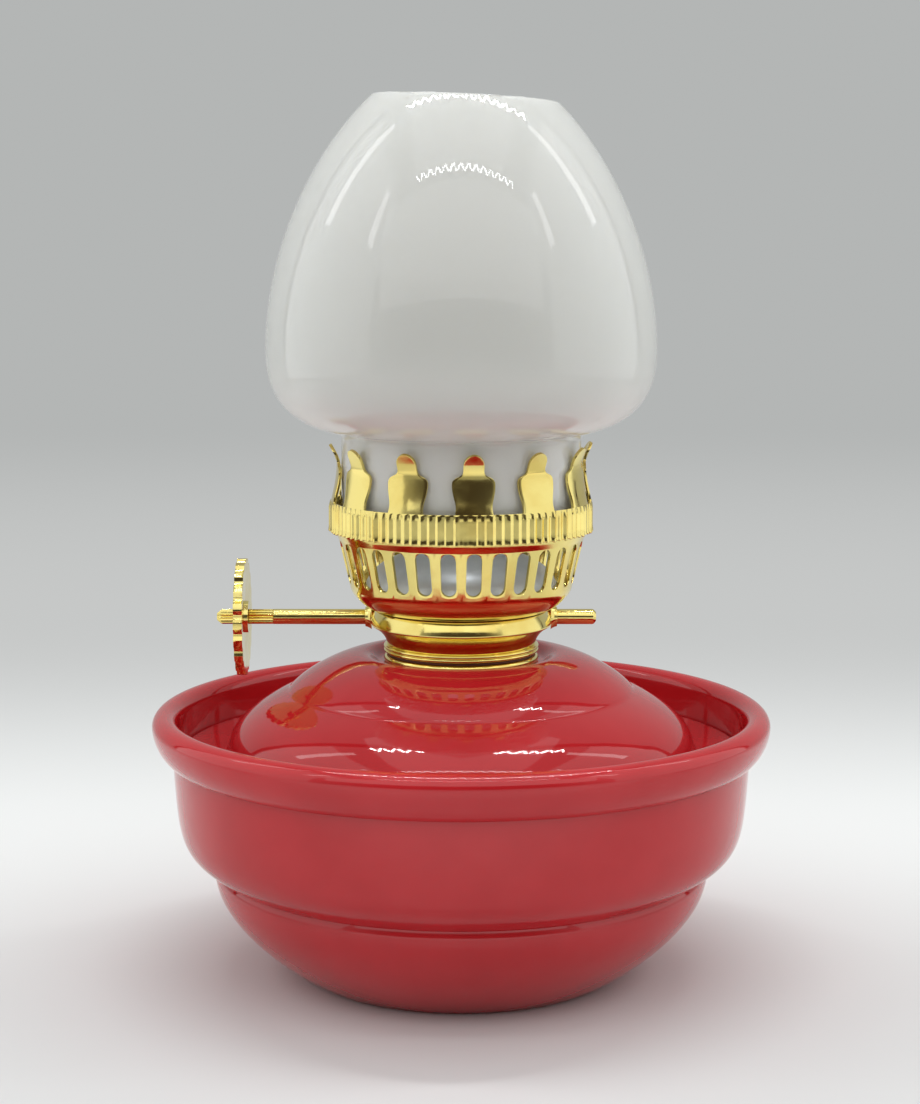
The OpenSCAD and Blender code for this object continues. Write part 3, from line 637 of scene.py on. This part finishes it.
low, high = corners("wick")
wick_w, wick_t, wick_l = high - low
bpy.ops.object.select_all(action="DESELECT")
bpy.ops.mesh.primitive_cube_add(size=MM)
wick = bpy.context.object
wick.name = wick.data.name = "cotton_wick"
mesh_edit(ALL, (bpy.ops.transform.resize, {"value": (wick_w, wick_t - 0.1, wick_l)}),
          (bpy.ops.transform.translate, {"value": (low + high) / 2 * MM}),
          (bpy.ops.mesh.bevel, {"offset": 0.5 * MM, "segments": 3}),
          ALL, (bpy.ops.mesh.subdivide, {"number_cuts": 3}))
smooth(wick, 60)
fit(wick, cotton, "wick", "wick")


# Chimney. Opal glass blown into a mould: a straight neck, a wide shoulder and a long bulb that
# draws in to the top, where it was cut a little out of square and its edge fire-polished.
OPAL_FACE = (0.63, 0.625, 0.58, 1)
OPAL_EDGE = (0.72, 0.725, 0.675, 1)
opal, wire, shader = new_finish("opal_glass", IOR=1.52, Subsurface_Weight=0.6, Subsurface_Scale=0.01,
                                Subsurface_Radius=(1.0, 0.95, 0.85))
milk = wire.node("ShaderNodeLayerWeight", {}, {"Blend": 0.5}, "Facing").ramp(0, 0.55)
milk = milk + 0.3 * (wire.noise(45, 2) - 0.5)
milk.blend(OPAL_FACE, OPAL_EDGE).into(shader, "Base Color")
wire.noise(90, 2).ramp(0.3, 0.7, 0.01, 0.03).into(shader, "Roughness")
wire.noise(38, 1).bump(0.0001).into(shader, "Normal")

low, high = corners("chimney")
foot_z, bulb_r = low.z, high.x
glass_t, neck_r, top_r, foot_round, neck_round = 1.6, 20, 14.1, 0.5, 1.2
neck_h, rise_h, draw_h = 15.4, 13.6, 42.4
shoulder_z = foot_z + neck_h
wide_z = shoulder_z + rise_h
top_z = wide_z + draw_h
foot_c = foot_z + foot_round
neck_bend = Vector((neck_r + neck_round, shoulder_z - 0.9))
bulb_low = [(neck_bend.x, neck_bend.y + neck_round),
            (neck_r + 0.68 * (bulb_r - neck_r), shoulder_z + 0.13 * rise_h),
            (bulb_r, shoulder_z + 0.43 * rise_h), (bulb_r, wide_z)]
bulb_high = [(bulb_r, wide_z), (bulb_r, wide_z + 0.36 * draw_h),
             (top_r + 0.62 * (bulb_r - top_r), top_z - 0.24 * draw_h), (top_r, top_z)]
chimney = turned("opal_chimney", [
    *curve(bulb_high, 44, glass_t)[::-1], *curve(bulb_low, 24, glass_t)[-2::-1],
    *arc(neck_bend, neck_round + glass_t, 100, 180, 10),
    *arc((neck_r - glass_t + foot_round, foot_c), foot_round, 180, 270, 5),
    *arc((neck_r - foot_round, foot_c), foot_round, 270, 360, 5),
    *arc(neck_bend, neck_round, 180, 100, 8), *curve(bulb_low, 24), *curve(bulb_high, 44)[1:]], 192)
cut_tilt, cut_trim = math.radians(2.9), 0.3
cut_z = top_z - top_r * math.sin(cut_tilt) - cut_trim
top_cut = {"plane_co": (0, 0, cut_z * MM), "plane_no": (math.sin(cut_tilt), 0, math.cos(cut_tilt)),
           "clear_outer": True}
bpy.context.view_layer.objects.active = chimney
mesh_edit((bpy.ops.mesh.select_mode, {"type": "EDGE"}),
          ALL, (bpy.ops.mesh.bisect, top_cut),
          NONE, (bpy.ops.mesh.select_non_manifold, {}),
          (bpy.ops.mesh.bridge_edge_loops, {}),
          (bpy.ops.mesh.region_to_loop, {}),
          (bpy.ops.mesh.bevel, {"offset": 0.35 * MM, "segments": 3}),
          ALL, OUTWARDS)
smooth(chimney, 50)
fit(chimney, opal, "chimney", "chimney")


# Studio, in metres. Pale paper that runs up to a grey back, soft panels above, in front and at the
# sides with brighter strips on them, two rows of small lamps overhead, and a dark gap in front.
PAPER_LIT = (0.92, 0.92, 0.92, 1)
PAPER_FRONT_SHADED = (0.69, 0.70, 0.70, 1)
PAPER_BACK = (0.89, 0.90, 0.90, 1)
BACK_LOW = (0.57, 0.58, 0.575, 1)
BACK_GREY = (0.455, 0.467, 0.462, 1)
GAP_DARK = (0.06, 0.05, 0.045, 1)
BLACK = (0, 0, 0, 1)
bpy.ops.object.select_all(action="DESELECT")
bpy.ops.mesh.primitive_circle_add(vertices=128, radius=6, fill_type="NGON")
floor = bpy.context.object
floor.name = "floor"
paper, wire, shader = new_finish("paper", Roughness=0.7, Specular_IOR_Level=0, Emission_Strength=1)
place = wire.node("ShaderNodeTexCoord", {}, {}, "Object")
depth = wire.node("ShaderNodeSeparateXYZ", {}, {"Vector": place}, "Y")
# The paper near the lamp is painted darker in front than behind it (painted shade), and out of sight
# in front it is painted lighter again (painted light)
paper_light_and_shade = depth.ramp(-0.05, 0.12).blend(PAPER_FRONT_SHADED, PAPER_BACK)
paper_light_and_shade = depth.ramp(-0.15, -0.07).blend(PAPER_LIT, paper_light_and_shade)
back = depth.ramp(0.06, 0.36)
grey = depth.ramp(0.3, 1.1).blend(BACK_LOW, BACK_GREY)
back.blend(paper_light_and_shade, BLACK).into(shader, "Base Color")
back.blend(BLACK, grey).into(shader, "Emission Color")
floor.data.materials.append(paper)

# The grey all round, with the dark gap in front and a thin dark seam at each of the back corners
seam_turn = math.radians(54)
world = bpy.data.worlds.new("studio")
world.use_nodes = True
bpy.context.scene.world = world
wire = Wire(world.node_tree)
way = wire.node("ShaderNodeTexCoord", {}, {}, "Generated")
across = wire.node("ShaderNodeSeparateXYZ", {}, {"Vector": way}, "X")
ahead = wire.node("ShaderNodeSeparateXYZ", {}, {"Vector": way}, "Y")
above = wire.node("ShaderNodeSeparateXYZ", {}, {"Vector": way}, "Z")
seen = wire.node("ShaderNodeLightPath", {}, {}, "Is Camera Ray")
gap = ahead.ramp(-0.92, -0.5, 1, 0) * above.ramp(-0.2, -0.12) * above.ramp(0.36, 0.44, 1, 0)
seam = abs(math.cos(seam_turn) * abs(across) - math.sin(seam_turn) * ahead).ramp(0.02, 0.035, 1, 0)
dark = (gap + seam) * (1 - seen)
dark.blend(BACK_GREY, GAP_DARK).into(world.node_tree.nodes["Background"], "Color")


def panel(name, width, height, place, aim, radiance, turn=0):
    """A flat lamp that looks equally bright from every side in front of it, turned about its axis."""
    lamp = bpy.data.lights.new(name, "AREA")
    lamp.shape = "RECTANGLE"
    lamp.size = width
    lamp.size_y = height
    lamp.energy = radiance * math.pi * width * height
    holder = bpy.data.objects.new(name, lamp)
    holder.location = place
    facing = (Vector(aim) - Vector(place)).to_track_quat("-Z", "Y")
    holder.rotation_euler = (facing @ Quaternion((0, 0, 1), turn)).to_euler()
    holder.visible_camera = False
    bpy.context.collection.objects.link(holder)


panel("panel_top", 0.5, 0.5, (0, -0.02, 0.62), (0, -0.02, 0), 0.6)
panel("panel_front", 1.1, 0.4, (0, -0.43, 0.46), (0, 0, 0.3), 0.78)
for side, x in (("left", -1), ("right", 1)):
    panel("panel_" + side, 0.42, 0.5, (0.32 * x, -0.04, 0.27), (0, -0.04, 0.27), 0.6)
    panel("strip_back_" + side, 0.03, 0.31, (0.3 * x, 0.06, 0.415), (0, 0.06, 0.415), 2.5)
    panel("strip_front_" + side, 0.03, 0.15, (0.3 * x, -0.163, 0.375), (0, -0.163, 0.375), 2.5)
row_middle, row_half, row_z, row_lamps = 0.024, 0.24, 0.55, 27
lamp_w, lamp_l, lamp_turn = 0.007, 0.03, 0.45
for row, row_y, bow, glare in (("front", -0.252, 0, 14), ("back", 0.012, 0.07, 48)):
    for i in range(row_lamps):
        k = 2 * i / (row_lamps - 1) - 1
        x, y = row_middle + row_half * k, row_y + bow * k * k
        turn = lamp_turn * (-1) ** i
        panel(f"lamp_{row}_{i}", lamp_w, lamp_l, (x, y, row_z), (x, y, 0), glare, turn)

# The camera at the photo's viewing angle; its focal length is in pixels of the photo
focal_px, photo_h, pitch = 2400, 1104, 7.896
camera = bpy.data.cameras.new("camera")
camera.sensor_width = 36
camera.lens = focal_px * camera.sensor_width / photo_h
stand = bpy.data.objects.new("camera", camera)
stand.location = (-0.0002, -0.3989, 0.12676)
stand.rotation_euler = (math.radians(90 - pitch), 0, 0)
bpy.context.collection.objects.link(stand)
bpy.context.scene.camera = stand
bpy.context.scene.view_settings.view_transform = "Standard"
